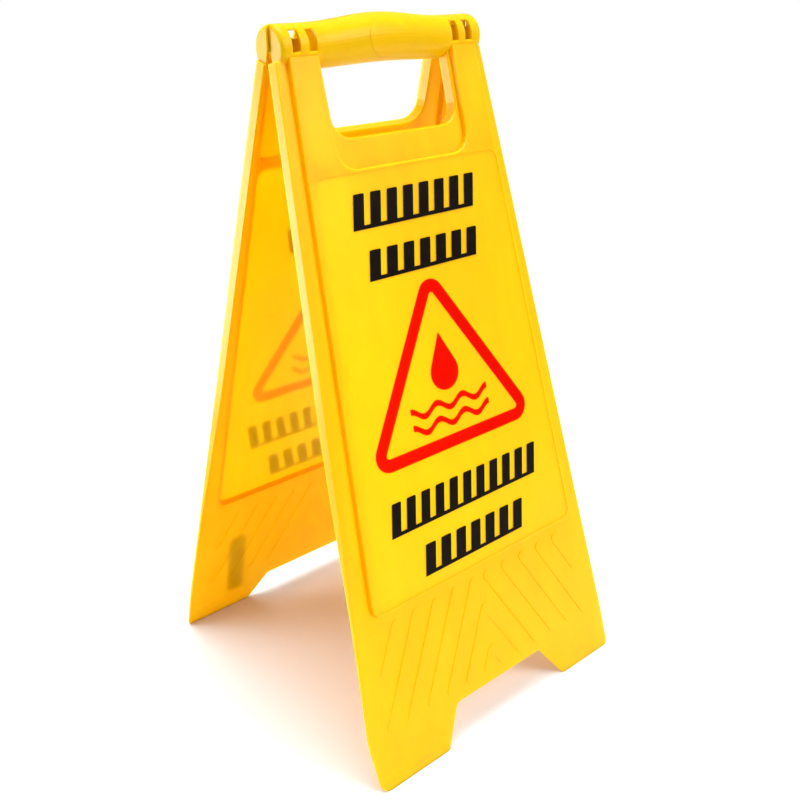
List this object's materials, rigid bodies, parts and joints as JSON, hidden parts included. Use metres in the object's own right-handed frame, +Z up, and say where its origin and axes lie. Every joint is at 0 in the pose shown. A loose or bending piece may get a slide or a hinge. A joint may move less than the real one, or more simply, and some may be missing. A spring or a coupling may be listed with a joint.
{
  "type": "folding wet floor sign",
  "caption": "Folding A-frame floor sign: two moulded leaves that hinge inside a tubular carrying grip, with plain caution graphics.",
  "frame": {"origin": "on the floor, at the bottom centre of the bounding box, half way between the two leaves' feet and below the hinge axis", "axes": "+X along the hinge, +Y from the front leaf to the rear leaf, +Z up"},
  "size_m": [0.3008, 0.3178, 0.5991],
  "materials": {
    "yellow_polypropylene": "semi-gloss translucent injection moulded polypropylene",
    "red_film": "red print film",
    "black_film": "black print film",
    "label_film": "blank self-adhesive label"
  },
  "bodies": {
    "front_leaf": {"front_panel": "yellow_polypropylene", "front_triangle_film": "red_film", "front_drop_film": "red_film", "front_wave_film_a": "red_film", "front_wave_film_b": "red_film", "front_dash_row_film_a": "black_film", "front_dash_row_film_b": "black_film", "front_dash_row_film_c": "black_film", "front_dash_row_film_d": "black_film"},
    "rear_leaf": {"rear_panel": "yellow_polypropylene", "rear_blank_label": "label_film", "rear_triangle_film": "red_film", "rear_drop_film": "red_film", "rear_wave_film_a": "red_film", "rear_wave_film_b": "red_film", "rear_dash_row_film_a": "black_film", "rear_dash_row_film_b": "black_film", "rear_dash_row_film_c": "black_film", "rear_dash_row_film_d": "black_film"}
  },
  "joints": [
    {"name": "fold_hinge", "type": "hinge", "parent": "front_leaf", "child": "rear_leaf", "pos_m": [0, 0, 0.57693], "axis": [1, 0, 0], "range_deg": [-28.74, 0]}
  ]
}
